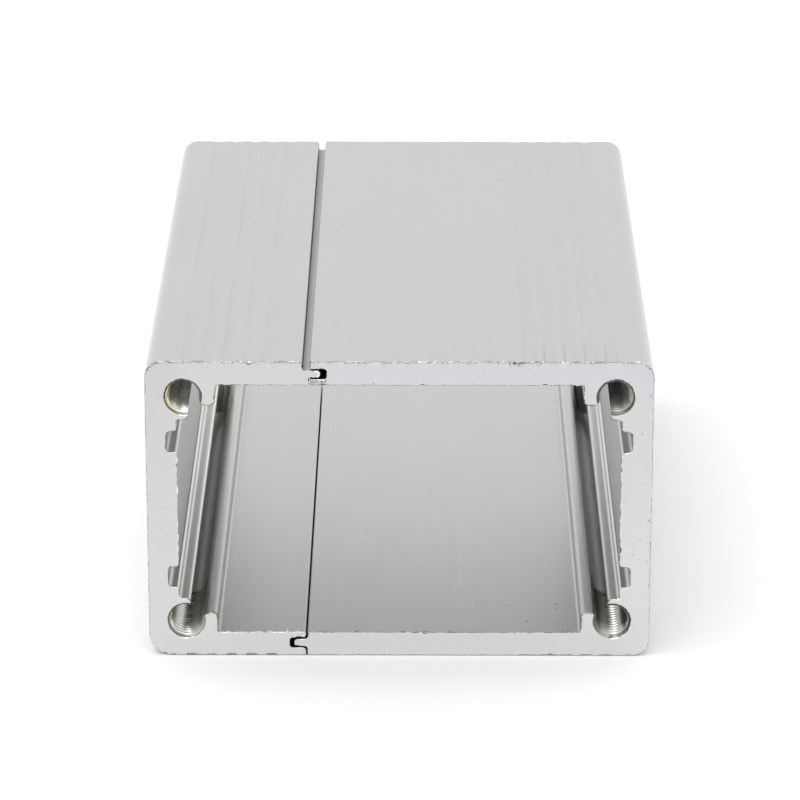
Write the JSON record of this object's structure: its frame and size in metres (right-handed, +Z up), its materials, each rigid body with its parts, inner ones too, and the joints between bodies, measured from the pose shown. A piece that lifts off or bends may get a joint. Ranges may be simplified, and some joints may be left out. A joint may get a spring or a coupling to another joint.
{
  "type": "extruded aluminium enclosure",
  "caption": "Split box of two extruded shells with tongue-and-groove seams, open ends, board slots in the side walls and tapped screw ports in the corners.",
  "frame": {"origin": "middle of the underside, halfway between the two side faces and halfway along the extrusion", "axes": "+Z up, +Y along the extrusion towards its back end, +X across towards the side of the wide shell"},
  "size_m": [0.04, 0.06, 0.025],
  "materials": {
    "narrow_shell_aluminium": "satin, as extruded and clear anodised, with bright sawn ends",
    "wide_shell_aluminium": "satin, as extruded and clear anodised, with bright sawn ends"
  },
  "bodies": {
    "wide": {"wide_shell": "wide_shell_aluminium"},
    "narrow": {"narrow_shell": "narrow_shell_aluminium"}
  },
  "joints": [
    {"name": "seam_slide", "type": "slide", "parent": "wide", "child": "narrow", "axis": [0, 1, 0], "range_m": [-0.06, 0.06]}
  ]
}
